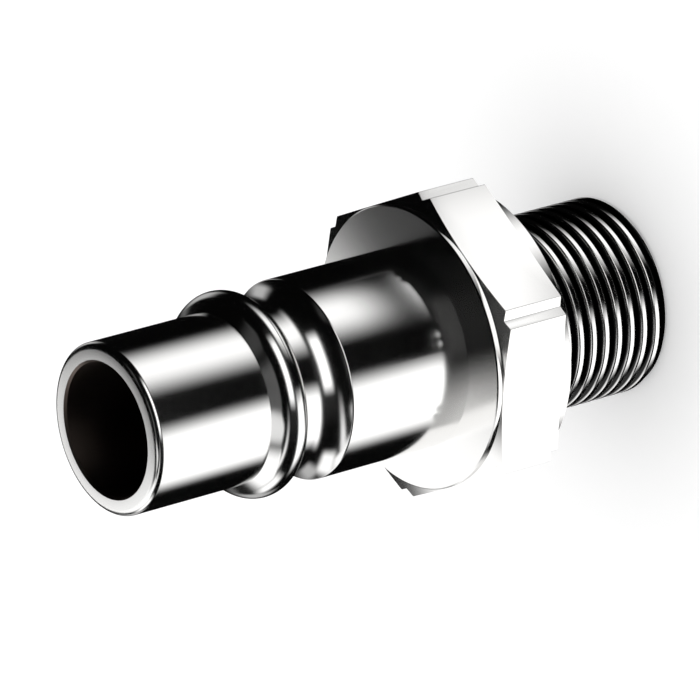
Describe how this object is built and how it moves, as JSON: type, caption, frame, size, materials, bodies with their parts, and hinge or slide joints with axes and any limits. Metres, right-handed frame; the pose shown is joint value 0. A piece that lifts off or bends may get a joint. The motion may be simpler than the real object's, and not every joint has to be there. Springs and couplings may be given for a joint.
{
  "type": "quick coupling plug",
  "caption": "Plug half of a quick coupling: plain nose, collar and locking groove, spanner hexagon, threaded tail and an open bore through.",
  "frame": {"origin": "centre of the thread's end face, which the plug stands on", "axes": "+Z along the axis, from the thread to the nose; +X through a corner of the hexagon"},
  "size_m": [0.0268, 0.024, 0.0515],
  "materials": {
    "plated_steel": "polished, with fine turning marks"
  },
  "bodies": {
    "root": {"plug_body": "plated_steel"}
  },
  "joints": []
}
